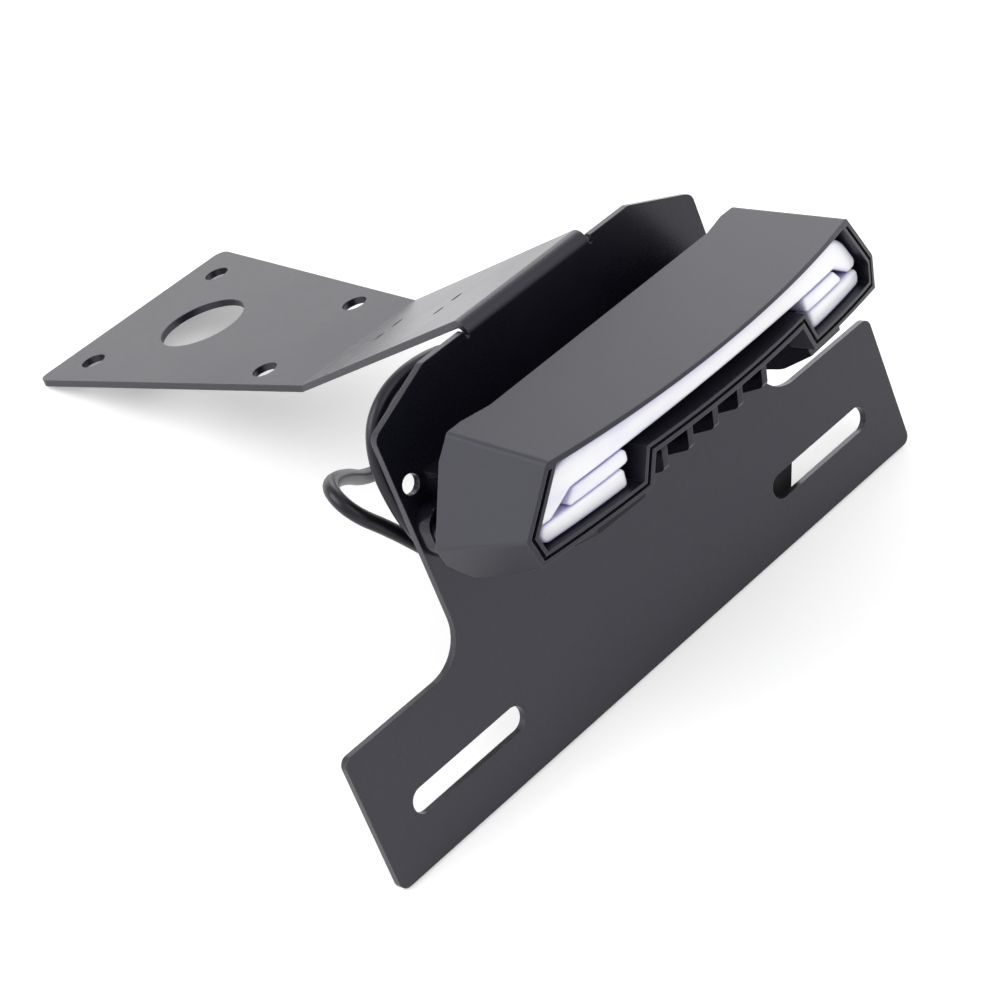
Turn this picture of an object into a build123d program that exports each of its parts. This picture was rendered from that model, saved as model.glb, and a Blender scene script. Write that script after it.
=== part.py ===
# Motorbike tail tidy: folded sheet bracket with a bolted tail lamp and its lead
import math
import os

from build123d import *

os.makedirs("parts", exist_ok=True)

# Sheet bracket, all sizes in mm, origin midway between the two rear mounting holes on the top face
sheet_t = 2.0
bend_r_in = 1.2
mount_hole_d = 7.0
rear_hole_pitch = 34.0
front_hole_pitch = 48.0
hole_row_gap = 71.3
cable_hole_d = 25.0
cable_hole_y = 48.8
plate_front_y = 83.3
plate_front_w = 72.6
plate_corner_r = 3.0
lower_bend_y = -20.8
strap_w = 43.0
strap_len = 82.7
strap_rise = 19.05
tie_slot_l = 3.6
tie_slot_w = 1.8
tie_slot_pitch = 6.6
tie_row_1 = 16.0
tie_row_2 = 46.5

# Number-plate panel, distances below the folded top corner
panel_w = 200.0
panel_h = 111.5
wing_top = 72.8
shoulder_top = 3.1
shoulder_w = 73.6
body_w = 114.4
chamfer_bottom = 11.2
wing_r = 2.5
chamfer_r = 3.0
waist_r = 11.0
relief_w = 1.0
relief_depth = 0.6
relief_r = 0.4
plate_slot_pitch = 136.6
plate_slot_drop = 95.3
plate_slot_l = 39.0
plate_slot_w = 7.0
signal_edge = 4.4
signal_drop = 26.3
signal_hole_d = 5.2

# Lamp, distances in front of the panel's rear face and heights above the mounting plate
bow_r = 205.0
bow_depth = 58.7
bow_lean = 9.0
rim_top_x = 53.3
rim_top_z = 13.9
rim_wide_x = 62.5
rim_wide_z = -1.8
rim_low_x = 60.5
rim_low_z = -9.8
notch_low_x = 29.4
notch_low_z = -7.7
notch_top_x = 26.5
notch_top_z = 0.0
rim_w = 2.8
rim_top_w = 1.6
rim_depth = 7.5
lip_w = 1.1
lip_groove_w = 0.9
lip_groove_depth = 1.4
cover_wall = 2.2
cover_rear = 17.6
cover_rear_top_x = 51.4
cover_rear_top_z = 16.5
cover_rear_wide_x = 65.1
cover_rear_wide_z = -6.9
cover_rear_low_x = 62.0
cover_front_low_x = 56.8
loft_front = 62.0
loft_low_z = -19.0
ear_rear = 19.6
ear_inner_x = 46.6
step_x = 38.9
step_rear = 21.8
fit_gap = 0.25
under_front = 64.0
under_front_z = -4.9
under_mid = 33.0
under_mid_z = -14.5
under_low = 23.5
under_low_z = -15.3
under_rear = 15.0
under_rear_z = -10.6
ear_low_z = 10.5
ear_high_z = 15.6

# Lamp base, its flange lies on the panel
flange_t = 2.5
base_half_w = 56.4
base_bottom_z = -19.5
base_top_z = -5.4
base_corner_r = 5.0
base_lip_t = 1.4
base_lip_h = 5.0
shelf_depth = 18.0
base_wall = 2.0
core_half_w = 49.0
core_top_z = 2.0
under_inset = 0.6
base_drop = 1.0
belly_half_w = 44.0
belly_front = 57.0
belly_front_z = -8.0
belly_depth = 38.0
belly_z = -17.0
fin_count = 5
fin_pitch = 9.0
fin_t = 1.9
fin_drop = 1.2
fin_nose_r = 2.0
fin_top_depth = 51.2
fin_nose_depth = 47.4
fin_nose_z = -11.3
fin_rear_z = -16.6
wire_slot_w = 10.0
wire_slot_h = 6.0
boss_x = 52.9
boss_z = -11.4
boss_d = 6.4
boss_hole_d = 3.4
boss_h = 7.0
rib_t = 1.4

# Light guides, mask and board
mask_t = 2.0
mask_outset = 2.35
guide_recess = 2.5
guide_back = 12.0
guide_shoulder = 1.0
guide_slip = 0.12
guide_round = 1.0
guide_gap = 0.45
window_gap = 0.2
top_low_mid_z = 5.85
top_low_end_x = 47.2
top_low_end_z = 3.35
top_high_z = 11.7
top_corner_x = 50.7
top_corner_r = 13.0
hook_in_x = 53.6
mid_end_x = 50.0
hook_out_x = 58.7
hook_in_r = 2.0
hook_out_r = 1.7
mid_corner_r = 0.8
split_x = 31.9
split_z = 0.35
split_slope = 0.09
bar_end_r = 1.3
low_in_x = 33.4
low_out_x = 57.4
low_end_r = 2.0
board_t = 1.6
board_back = 34.0
board_inset = 2.9
led_w = 3.0
led_h = 1.0
led_pitch = 8.0
led_top_count = 13
led_top_z = 8.0
led_mid_x = (36.0, 47.0)
led_mid_z = 1.7
led_low_x = (38.0, 50.0)
led_low_z = -3.4
post_x = 42.0
post_w = 7.0
post_t = 5.0
board_screw_d = 2.0
board_screw_z = -1.2
post_top_z = 7.0
post_foot_z = -13.2

# Fixings and lead
bolt_x = 34.0
bolt_z = -9.5
bolt_d = 5.0
bolt_hole_d = 5.4
bolt_boss_d = 10.0
bolt_len = 14.0
bolt_head_d = 9.5
bolt_head_h = 2.75
bolt_socket = 3.0
thread_gap = 0.1
washer_d = 10.0
washer_t = 1.0
lead_d = 4.0
lead_z = -10.0
grommet_hole_d = 9.0
grommet_d = 13.0
grommet_back_t = 2.4
grommet_front_t = 1.2
lead_gap = 0.1
tie_t = 1.1
tie_w = 3.6
tie_head = 4.0
tie_gap = 0.15
plug_w = 13.0
plug_t = 9.0
plug_l = 20.0
plug_gland_l = 4.0
plug_pin_d = 1.6
plug_pin_pitch = 3.6
plug_mouth = 7.0

# Derived places
rise = math.radians(strap_rise)
panel_y = lower_bend_y - strap_len * math.cos(rise)
corner_z = strap_len * math.sin(rise)
panel_back_y = panel_y + sheet_t
panel_bottom_z = corner_z - panel_h
bend_r_out = bend_r_in + sheet_t
top_turn = math.radians(90 + strap_rise)
top_setback = bend_r_out * math.tan(top_turn / 2)
low_setback = (bend_r_in + sheet_t) * math.tan(rise / 2)
low_in_y = lower_bend_y + sheet_t * math.tan(rise / 2)
top_in_z = corner_z - sheet_t * math.tan(top_turn / 2)
flat_top_z = corner_z - top_setback
relief_z = flat_top_z - relief_depth
plate_slot_z = corner_z - plate_slot_drop
signal_z = corner_z - signal_drop
signal_pitch = body_w - 2 * signal_edge

# Folded sheet: side profile first, then outline, panel and holes
with BuildPart() as bracket:
    with BuildSketch(Plane.YZ):
        with BuildLine():
            upper = FilletPolyline(
                (plate_front_y, 0), (lower_bend_y, 0), (panel_y, corner_z), (panel_y, flat_top_z - 4),
                radius=[bend_r_in, bend_r_out])
            lower = FilletPolyline(
                (plate_front_y, -sheet_t), (low_in_y, -sheet_t), (panel_back_y, top_in_z),
                (panel_back_y, flat_top_z - 4), radius=[bend_r_in + sheet_t, bend_r_in])
            Line(upper @ 0, lower @ 0)
            Line(upper @ 1, lower @ 1)
        make_face()
    extrude(amount=plate_front_w, both=True)
    with BuildSketch(Plane.XY):
        with BuildLine():
            FilletPolyline(
                (-plate_front_w / 2, plate_front_y), (plate_front_w / 2, plate_front_y),
                (strap_w / 2, lower_bend_y), (strap_w / 2, panel_y - 5), (-strap_w / 2, panel_y - 5),
                (-strap_w / 2, lower_bend_y), close=True,
                radius=[plate_corner_r, plate_corner_r, 4.0, 0.5, 0.5, 4.0])
        make_face()
    extrude(amount=corner_z + 10, both=True, mode=Mode.INTERSECT)
    with BuildSketch(Plane.XZ.offset(-panel_back_y)):
        with BuildLine():
            half = [
                (strap_w / 2, flat_top_z), (strap_w / 2, relief_z), (strap_w / 2 + relief_w, relief_z),
                (strap_w / 2 + relief_w, corner_z - shoulder_top), (shoulder_w / 2, corner_z - shoulder_top),
                (body_w / 2, corner_z - chamfer_bottom), (body_w / 2, corner_z - wing_top),
                (panel_w / 2, corner_z - wing_top), (panel_w / 2, panel_bottom_z)]
            outline_radii = [0.3, relief_r, relief_r, relief_r, 2.0, chamfer_r, waist_r, wing_r, wing_r]
            mirrored = [(-x, z) for x, z in reversed(half)]
            FilletPolyline(*half, *mirrored, close=True, radius=outline_radii + outline_radii[::-1])
        make_face()
    extrude(amount=sheet_t)
    with BuildSketch(Plane.XY):
        with Locations((-rear_hole_pitch / 2, 0), (rear_hole_pitch / 2, 0)):
            Circle(mount_hole_d / 2)
        with Locations((-front_hole_pitch / 2, hole_row_gap), (front_hole_pitch / 2, hole_row_gap)):
            Circle(mount_hole_d / 2)
        with Locations((0, cable_hole_y)):
            Circle(cable_hole_d / 2)
    extrude(amount=sheet_t, both=True, mode=Mode.SUBTRACT)
    with BuildSketch(Plane.XZ.offset(-panel_y)):
        with Locations((-plate_slot_pitch / 2, plate_slot_z), (plate_slot_pitch / 2, plate_slot_z)):
            SlotOverall(plate_slot_l, plate_slot_w)
        with Locations((-signal_pitch / 2, signal_z), (signal_pitch / 2, signal_z)):
            Circle(signal_hole_d / 2)
        with Locations((-bolt_x, bolt_z), (bolt_x, bolt_z)):
            Circle(bolt_hole_d / 2)
        with Locations((0, lead_z)):
            Circle(grommet_hole_d / 2)
    extrude(amount=sheet_t * 2, both=True, mode=Mode.SUBTRACT)
    strap_plane = Plane((0, lower_bend_y, 0), x_dir=(1, 0, 0), z_dir=(0, math.sin(rise), math.cos(rise)))
    with BuildSketch(strap_plane):
        with Locations(
                (-tie_slot_pitch / 2, -tie_row_1), (tie_slot_pitch / 2, -tie_row_1),
                (-tie_slot_pitch / 2, -tie_row_2), (tie_slot_pitch / 2, -tie_row_2)):
            SlotOverall(tie_slot_l, tie_slot_w)
    extrude(amount=sheet_t * 2, both=True, mode=Mode.SUBTRACT)
bracket.part.label = "bracket"
export_step(bracket.part, "parts/bracket.step")
print("bracket", bracket.part.volume, len(bracket.part.solids()))

# Lamp reference surfaces: the front is bowed about a leaning axis
lean = math.radians(bow_lean)
bow_axis_y = panel_y - bow_depth + bow_r / math.cos(lean)
bow_place = Location((0, bow_axis_y, 0), (bow_lean, 0, 0))


def bow_at(x, z):
    return bow_depth - x * x / (2 * bow_r) + math.tan(lean) * z


def at_depth(depth):
    return Plane.XZ.offset(depth - panel_y)


rim_half = [(rim_top_x, rim_top_z), (rim_wide_x, rim_wide_z), (rim_low_x, rim_low_z),
            (notch_low_x, notch_low_z), (notch_top_x, notch_top_z)]
rim_outline = rim_half + [(-x, z) for x, z in reversed(rim_half)]
top_gain = rim_w - rim_top_w
window_top_x = rim_top_x - top_gain * (rim_wide_x - rim_top_x) / (rim_top_z - rim_wide_z)
window_half = [(window_top_x, rim_top_z + top_gain)] + rim_half[1:]
window_outline = window_half + [(-x, z) for x, z in reversed(window_half)]
k_top = (loft_front - cover_rear) / (bow_at(rim_top_x, rim_top_z) - cover_rear)
k_wide = (loft_front - cover_rear) / (bow_at(rim_wide_x, rim_wide_z) - cover_rear)
front_top_x = cover_rear_top_x + (rim_top_x - cover_rear_top_x) * k_top
front_top_z = cover_rear_top_z + (rim_top_z - cover_rear_top_z) * k_top
front_wide_x = cover_rear_wide_x + (rim_wide_x - cover_rear_wide_x) * k_wide
front_wide_z = cover_rear_wide_z + (rim_wide_z - cover_rear_wide_z) * k_wide
rear_half = [(cover_rear_top_x, cover_rear_top_z), (cover_rear_wide_x, cover_rear_wide_z),
             (cover_rear_low_x, loft_low_z)]
front_half = [(front_top_x, front_top_z), (front_wide_x, front_wide_z), (cover_front_low_x, loft_low_z)]
rear_outline = rear_half + [(-x, z) for x, z in reversed(rear_half)]
front_outline = front_half + [(-x, z) for x, z in reversed(front_half)]
low_slope = (rim_low_z - notch_low_z) / (rim_low_x - notch_low_x)
rim_cut_x = rim_low_x - rim_w
rim_cut_z = notch_low_z + low_slope * (rim_cut_x - notch_low_x)
notch_slope = (notch_low_x - notch_top_x) / (notch_top_z - notch_low_z)
notch_deep_z = -40.0
notch_deep_x = notch_top_x + notch_slope * (notch_top_z - notch_deep_z)
under_line = [(under_front, under_front_z), (under_mid, under_mid_z), (under_low, under_low_z),
              (under_rear, under_rear_z)]
low_rise = (under_line[1][1] - under_line[0][1]) / (under_line[0][0] - under_line[1][0])
rear_rise = (under_line[3][1] - under_line[2][1]) / (under_line[2][0] - under_line[3][0])
base_mid_z = under_line[1][1] - base_drop
base_low_z = under_line[2][1] - base_drop
rear_under_z = base_low_z + rear_rise * (under_line[2][0] - shelf_depth + base_wall)
belly_line = [
    (panel_y - belly_front, core_top_z), (panel_y - belly_front, belly_front_z),
    (panel_y - belly_depth, belly_z), (panel_y - shelf_depth, base_bottom_z),
    (panel_y - shelf_depth + base_wall, base_bottom_z), (panel_y - shelf_depth + base_wall, core_top_z)]
belly_radii = [0.2, 0.2, 12.0, 0.5, 0.2, 0.2]

with BuildPart() as bow_face:
    with Locations(bow_place):
        Cylinder(bow_r, 240)
with BuildPart() as bow_groove:
    with Locations(bow_place):
        Cylinder(bow_r - lip_groove_depth, 240)
with BuildPart() as bow_ledge:
    with Locations(bow_place):
        Cylinder(bow_r - rim_depth, 240)
with BuildPart() as bow_mask:
    with Locations(bow_place):
        Cylinder(bow_r - rim_depth - mask_t, 240)
with BuildPart() as bow_guide:
    with Locations(bow_place):
        Cylinder(bow_r - guide_recess, 240)
with BuildPart() as bow_guide_back:
    with Locations(bow_place):
        Cylinder(bow_r - guide_back, 240)
with BuildPart() as bow_base:
    with Locations(bow_place):
        Cylinder(bow_r - rim_depth - fit_gap, 240)

# Space inside the cover's walls, and the same with the base's and mask's clearance
with BuildPart() as cavity:
    with BuildSketch(at_depth(cover_rear - 1)):
        with BuildLine():
            Polyline(*rear_outline, close=True)
        make_face()
        offset(amount=-cover_wall, kind=Kind.INTERSECTION, mode=Mode.REPLACE)
    with BuildSketch(at_depth(loft_front)):
        with BuildLine():
            Polyline(*front_outline, close=True)
        make_face()
        offset(amount=-cover_wall, kind=Kind.INTERSECTION, mode=Mode.REPLACE)
    loft(ruled=True)
with BuildPart() as inside_fit:
    with BuildSketch(at_depth(cover_rear - 1)):
        with BuildLine():
            Polyline(*rear_outline, close=True)
        make_face()
        offset(amount=-cover_wall - fit_gap, kind=Kind.INTERSECTION, mode=Mode.REPLACE)
    with BuildSketch(at_depth(loft_front)):
        with BuildLine():
            Polyline(*front_outline, close=True)
        make_face()
        offset(amount=-cover_wall - fit_gap, kind=Kind.INTERSECTION, mode=Mode.REPLACE)
    loft(ruled=True)
with BuildPart() as cavity_behind_ledge:
    add(cavity.part)
    add(bow_ledge.part, mode=Mode.INTERSECT)
with BuildPart() as lip_groove:
    with BuildSketch(at_depth(0)):
        with BuildLine():
            Polyline(*rim_outline, close=True)
        make_face()
        offset(amount=-lip_w, kind=Kind.INTERSECTION, mode=Mode.REPLACE)
    extrude(amount=80)
    with BuildSketch(at_depth(0)):
        with BuildLine():
            Polyline(*rim_outline, close=True)
        make_face()
        offset(amount=-lip_w - lip_groove_w, kind=Kind.INTERSECTION, mode=Mode.REPLACE)
    extrude(amount=80, mode=Mode.SUBTRACT)
    with BuildSketch(at_depth(0)):
        with Locations((0, rim_top_z)):
            Rectangle(4 * rim_top_x, 2 * (lip_w + lip_groove_w))
    extrude(amount=80, mode=Mode.SUBTRACT)
    add(bow_groove.part, mode=Mode.SUBTRACT)

# Front shell of the lamp
with BuildPart() as lamp_cover:
    with BuildSketch(at_depth(cover_rear)):
        with BuildLine():
            Polyline(*rear_outline, close=True)
        make_face()
    with BuildSketch(at_depth(loft_front)):
        with BuildLine():
            Polyline(*front_outline, close=True)
        make_face()
    loft(ruled=True)
    long_edges = lamp_cover.edges().filter_by(lambda e: abs((e @ 1).Y - (e @ 0).Y) > 30)
    fillet(long_edges.sort_by(Axis.Z)[-2:], radius=1.6)
    long_edges = lamp_cover.edges().filter_by(lambda e: abs((e @ 1).Y - (e @ 0).Y) > 30)
    side_edges = long_edges.sort_by(Axis.X)
    fillet([side_edges[0], side_edges[-1]], radius=1.2)
    add(bow_face.part, mode=Mode.INTERSECT)
    with BuildSketch(Plane.YZ):
        with BuildLine():
            FilletPolyline(
                (panel_y - under_line[0][0], -40), (panel_y - under_line[0][0], under_line[0][1]),
                (panel_y - under_line[1][0], under_line[1][1]),
                (panel_y - under_line[2][0], under_line[2][1]),
                (panel_y - under_line[3][0], under_line[3][1]), (panel_y - under_line[3][0], -40),
                close=True, radius=[1.0, 1.0, 30.0, 5.0, 1.0, 1.0])
        make_face()
    extrude(amount=100, both=True, mode=Mode.SUBTRACT)
    with BuildSketch(at_depth(0)):
        with BuildLine():
            Polyline(
                (-rim_cut_x, -40), (-rim_cut_x, rim_cut_z), (-notch_low_x, notch_low_z),
                (-notch_top_x, notch_top_z), (notch_top_x, notch_top_z), (notch_low_x, notch_low_z),
                (rim_cut_x, rim_cut_z), (rim_cut_x, -40), close=True)
        make_face()
    extrude(amount=80, mode=Mode.SUBTRACT)
    add(cavity_behind_ledge.part, mode=Mode.SUBTRACT)
    with BuildSketch(at_depth(0)):
        with BuildLine():
            Polyline(*window_outline, close=True)
        make_face()
        offset(amount=-rim_w, kind=Kind.INTERSECTION, mode=Mode.REPLACE)
    extrude(amount=80, mode=Mode.SUBTRACT)
    add(lip_groove.part, mode=Mode.SUBTRACT)
    with BuildSketch(Plane.YZ):
        with BuildLine():
            Polyline(
                (panel_y - cover_rear + 2, ear_low_z), (panel_y - cover_rear, ear_low_z),
                (panel_y - ear_rear, ear_high_z), (panel_y - ear_rear, 25), (panel_y - cover_rear + 2, 25),
                close=True)
        make_face()
    extrude(amount=100, both=True, mode=Mode.SUBTRACT)
    with BuildSketch(Plane.XY.offset(10)):
        with BuildLine():
            FilletPolyline(
                (-ear_inner_x, panel_y - ear_rear + 4), (-ear_inner_x, panel_y - ear_rear),
                (-step_x, panel_y - step_rear), (step_x, panel_y - step_rear),
                (ear_inner_x, panel_y - ear_rear), (ear_inner_x, panel_y - ear_rear + 4),
                close=True, radius=[0.5, 0.5, 4.0, 4.0, 0.5, 0.5])
        make_face()
    extrude(amount=20, mode=Mode.SUBTRACT)
lamp_cover.part.label = "lamp_cover"
export_step(lamp_cover.part, "parts/lamp_cover.step")
print("lamp_cover", lamp_cover.part.volume, len(lamp_cover.part.solids()))

# Rear and lower housing of the lamp
wire_slot_z = core_top_z - base_wall - wire_slot_h
with BuildPart() as rim_room:
    with BuildSketch(at_depth(0)):
        with BuildLine():
            Polyline(*rim_outline, close=True)
        make_face()
        offset(amount=fit_gap, kind=Kind.INTERSECTION, mode=Mode.REPLACE)
    extrude(amount=80)
    add(bow_base.part, mode=Mode.SUBTRACT)
with BuildPart() as belly:
    with BuildSketch(Plane.YZ):
        with BuildLine():
            FilletPolyline(*belly_line, close=True, radius=belly_radii)
        make_face()
    extrude(amount=belly_half_w, both=True)
    add(bow_guide.part, mode=Mode.INTERSECT)
    add(rim_room.part, mode=Mode.SUBTRACT)
with BuildPart() as under_shell:
    with BuildSketch(Plane.YZ):
        with BuildLine():
            FilletPolyline(
                (panel_y - 54, core_top_z), (panel_y - 54, under_line[0][1] + 10 * low_rise + under_inset),
                (panel_y - under_line[1][0], base_mid_z), (panel_y - under_line[2][0], base_low_z),
                (panel_y - shelf_depth + base_wall, rear_under_z),
                (panel_y - shelf_depth + base_wall, core_top_z),
                close=True, radius=[0.2, 0.2, 30.0, 5.0, 0.2, 0.2])
        make_face()
    extrude(amount=70, both=True)
    add(inside_fit.part, mode=Mode.INTERSECT)
    add(bow_base.part, mode=Mode.INTERSECT)
    add(belly.part)
    with BuildSketch(at_depth(0)):
        with BuildLine():
            Polyline(
                (-notch_deep_x, notch_deep_z), (-notch_top_x, notch_top_z), (notch_top_x, notch_top_z),
                (notch_deep_x, notch_deep_z), close=True)
        make_face()
    extrude(amount=80, mode=Mode.SUBTRACT)
with BuildPart() as under_space:
    with BuildSketch(Plane.YZ):
        with BuildLine():
            FilletPolyline(
                (panel_y - 60, core_top_z + 8),
                (panel_y - 60, under_line[0][1] + 4 * low_rise + under_inset + base_wall),
                (panel_y - under_line[1][0], base_mid_z + base_wall),
                (panel_y - under_line[2][0], base_low_z + base_wall),
                (panel_y - shelf_depth + base_wall, rear_under_z + base_wall),
                (panel_y - shelf_depth + base_wall, core_top_z + 8),
                close=True, radius=[0.2, 0.2, 28.0, 4.0, 0.2, 0.2])
        make_face()
    extrude(amount=80, both=True)
    with BuildSketch(Plane.YZ):
        with BuildLine():
            FilletPolyline(*belly_line, close=True, radius=belly_radii)
        make_face()
        offset(amount=-base_wall, kind=Kind.INTERSECTION, mode=Mode.REPLACE)
    extrude(amount=belly_half_w - base_wall, both=True)
    with BuildSketch(at_depth(0)):
        with BuildLine():
            Polyline(
                (-notch_deep_x, notch_deep_z), (-notch_top_x, notch_top_z), (notch_top_x, notch_top_z),
                (notch_deep_x, notch_deep_z), close=True)
        make_face()
        offset(amount=base_wall, kind=Kind.INTERSECTION, mode=Mode.REPLACE)
    extrude(amount=80, mode=Mode.SUBTRACT)
with BuildPart() as fins:
    for i in range(fin_count):
        with BuildSketch(Plane.YZ.offset((i - (fin_count - 1) / 2) * fin_pitch)):
            with BuildLine():
                FilletPolyline(
                    (panel_y - fin_top_depth, core_top_z / 2), (panel_y - fin_nose_depth, fin_nose_z),
                    (panel_y - under_line[1][0], under_line[1][1] - fin_drop),
                    (panel_y - shelf_depth + base_wall / 2, fin_rear_z),
                    (panel_y - shelf_depth + base_wall / 2, core_top_z / 2),
                    close=True, radius=[0.2, fin_nose_r, 20.0, 0.2, 0.2])
            make_face()
        extrude(amount=fin_t / 2, both=True)
    add(bow_base.part, mode=Mode.INTERSECT)
with BuildPart() as lamp_base:
    with BuildSketch(at_depth(0)) as flange_plan:
        with Locations((0, (base_top_z + base_bottom_z) / 2)):
            RectangleRounded(2 * base_half_w, base_top_z - base_bottom_z, base_corner_r)
    extrude(amount=flange_t)
    with BuildSketch(at_depth(0)):
        add(flange_plan.sketch)
        offset(flange_plan.sketch, amount=-base_lip_t, mode=Mode.SUBTRACT)
    extrude(amount=base_lip_h)
    with BuildSketch(at_depth(0)):
        add(flange_plan.sketch)
        with Locations((0, base_bottom_z + base_wall + 20)):
            Rectangle(4 * base_half_w, 40, mode=Mode.SUBTRACT)
    extrude(amount=shelf_depth)
    with BuildSketch(at_depth(0)):
        with Locations((0, (core_top_z + base_bottom_z) / 2)):
            Rectangle(2 * core_half_w, core_top_z - base_bottom_z)
    extrude(amount=shelf_depth)
    with BuildSketch(at_depth(flange_t)):
        with Locations((0, (core_top_z + base_bottom_z) / 2)):
            Rectangle(2 * (core_half_w - base_wall), core_top_z - base_bottom_z - 2 * base_wall)
    extrude(amount=shelf_depth - flange_t - base_wall, mode=Mode.SUBTRACT)
    add(under_shell.part)
    add(under_space.part, mode=Mode.SUBTRACT)
    add(fins.part)
    with BuildSketch(at_depth(shelf_depth - 2 * base_wall)):
        with Locations((-post_x, wire_slot_z), (post_x, wire_slot_z)):
            RectangleRounded(wire_slot_w, wire_slot_h, 1.0)
    extrude(amount=3 * base_wall, mode=Mode.SUBTRACT)
    with BuildSketch(at_depth(0)):
        with Locations((-bolt_x, bolt_z), (bolt_x, bolt_z)):
            Circle(bolt_boss_d / 2)
    extrude(amount=bolt_len)
    with BuildSketch(at_depth(0)):
        with Locations((-boss_x, boss_z), (boss_x, boss_z)):
            Circle(boss_d / 2)
        with Locations((-(boss_x + core_half_w) / 2, boss_z + 1), ((boss_x + core_half_w) / 2, boss_z + 1)):
            Rectangle(boss_x - core_half_w, rib_t)
    extrude(amount=boss_h)
    with BuildSketch(at_depth(flange_t)):
        with Locations((-boss_x, boss_z), (boss_x, boss_z)):
            Circle(boss_hole_d / 2)
    extrude(amount=boss_h, mode=Mode.SUBTRACT)
    with BuildSketch(at_depth(0)):
        with Locations((-bolt_x, bolt_z), (bolt_x, bolt_z)):
            Circle(bolt_d / 2 + thread_gap)
    extrude(amount=bolt_len - 1.5, mode=Mode.SUBTRACT)
    with BuildSketch(at_depth(0)):
        with Locations((0, lead_z)):
            Circle(grommet_d / 2 + fit_gap)
    extrude(amount=grommet_front_t, mode=Mode.SUBTRACT)
    with BuildSketch(at_depth(0)):
        with Locations((0, lead_z)):
            Circle(lead_d / 2 + 0.6)
    extrude(amount=flange_t * 2, mode=Mode.SUBTRACT)
    with BuildSketch(at_depth(board_back - post_t)):
        with Locations((-post_x, (post_top_z + post_foot_z) / 2), (post_x, (post_top_z + post_foot_z) / 2)):
            Rectangle(post_w, post_top_z - post_foot_z)
    extrude(amount=post_t)
    with BuildSketch(at_depth(board_back)):
        with Locations((-post_x, board_screw_z), (post_x, board_screw_z)):
            Circle(board_screw_d / 2 + thread_gap)
    extrude(amount=-post_t, mode=Mode.SUBTRACT)
lamp_base.part.label = "lamp_base"
export_step(lamp_base.part, "parts/lamp_base.step")
print("lamp_base", lamp_base.part.volume, len(lamp_base.part.solids()))

# Light guides: bars that fill the window, each on a narrower stem through the mask


def split_at(x):
    return split_z - split_slope * (x - split_x)


def top_low_at(x):
    return top_low_mid_z - (top_low_mid_z - top_low_end_z) * (x / top_low_end_x) ** 2


def window_low_at(x):
    return notch_low_z + low_slope * (x - notch_low_x) + rim_w + window_gap


hook_in_z = split_at(hook_in_x) + guide_gap / 2
hook_out_z = split_at(hook_out_x) + guide_gap / 2
mid_corners = [
    (split_x, top_low_at(split_x) - guide_gap),
    (top_low_end_x - guide_gap, top_low_end_z - guide_gap),
    (mid_end_x, split_at(mid_end_x) + guide_gap / 2),
    (split_x, split_at(split_x) + guide_gap / 2)]
low_corners = [
    (low_in_x, split_at(low_in_x) - guide_gap / 2), (low_out_x, split_at(low_out_x) - guide_gap / 2),
    (low_out_x, window_low_at(low_out_x)), (low_in_x, window_low_at(low_in_x))]
mid_radii = [bar_end_r, mid_corner_r, mid_corner_r, bar_end_r]
low_radii = [bar_end_r, low_end_r, low_end_r, bar_end_r]
hook_line = [
    (top_low_end_x, top_low_end_z), (hook_in_x, hook_in_z), (hook_out_x, hook_out_z),
    (top_corner_x, top_high_z)]
hook_radii = [hook_in_r, hook_out_r, top_corner_r]

with BuildSketch(at_depth(0)) as top_plan:
    with BuildLine():
        ThreePointArc((-top_low_end_x, top_low_end_z), (0, top_low_mid_z), (top_low_end_x, top_low_end_z))
        FilletPolyline(
            *hook_line, *[(-x, z) for x, z in reversed(hook_line)], radius=hook_radii + hook_radii[::-1])
    make_face()
    hook_corners = top_plan.vertices().filter_by(lambda v: abs(abs(v.X) - top_low_end_x) < 0.01)
    fillet(hook_corners, radius=mid_corner_r + guide_gap)
with BuildSketch(at_depth(0)) as mid_plan_left:
    with BuildLine():
        FilletPolyline(*[(-x, z) for x, z in mid_corners], close=True, radius=mid_radii)
    make_face()
with BuildSketch(at_depth(0)) as mid_plan_right:
    with BuildLine():
        FilletPolyline(*mid_corners, close=True, radius=mid_radii)
    make_face()
with BuildSketch(at_depth(0)) as low_plan_left:
    with BuildLine():
        FilletPolyline(*[(-x, z) for x, z in low_corners], close=True, radius=low_radii)
    make_face()
with BuildSketch(at_depth(0)) as low_plan_right:
    with BuildLine():
        FilletPolyline(*low_corners, close=True, radius=low_radii)
    make_face()
guide_plans = [top_plan, mid_plan_left, mid_plan_right, low_plan_left, low_plan_right]

with BuildPart() as stem_waste:
    with BuildSketch(at_depth(0)):
        for plan in guide_plans:
            offset(plan.sketch, amount=guide_gap / 3, mode=Mode.ADD)
            offset(plan.sketch, amount=-guide_shoulder, mode=Mode.SUBTRACT)
    extrude(amount=80)
    add(bow_ledge.part, mode=Mode.INTERSECT)
with BuildPart() as inner_mask:
    with BuildSketch(at_depth(0)):
        with BuildLine():
            Polyline(*rim_outline, close=True)
        make_face()
        offset(amount=-mask_outset, kind=Kind.INTERSECTION, mode=Mode.REPLACE)
    extrude(amount=80)
    add(bow_ledge.part, mode=Mode.INTERSECT)
    add(bow_mask.part, mode=Mode.SUBTRACT)
    add(inside_fit.part, mode=Mode.INTERSECT)
    with BuildSketch(at_depth(0)):
        for plan in guide_plans:
            offset(plan.sketch, amount=guide_slip - guide_shoulder, mode=Mode.ADD)
    extrude(amount=80, mode=Mode.SUBTRACT)
inner_mask.part.label = "inner_mask"
export_step(inner_mask.part, "parts/inner_mask.step")
print("inner_mask", inner_mask.part.volume, len(inner_mask.part.solids()))

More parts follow.
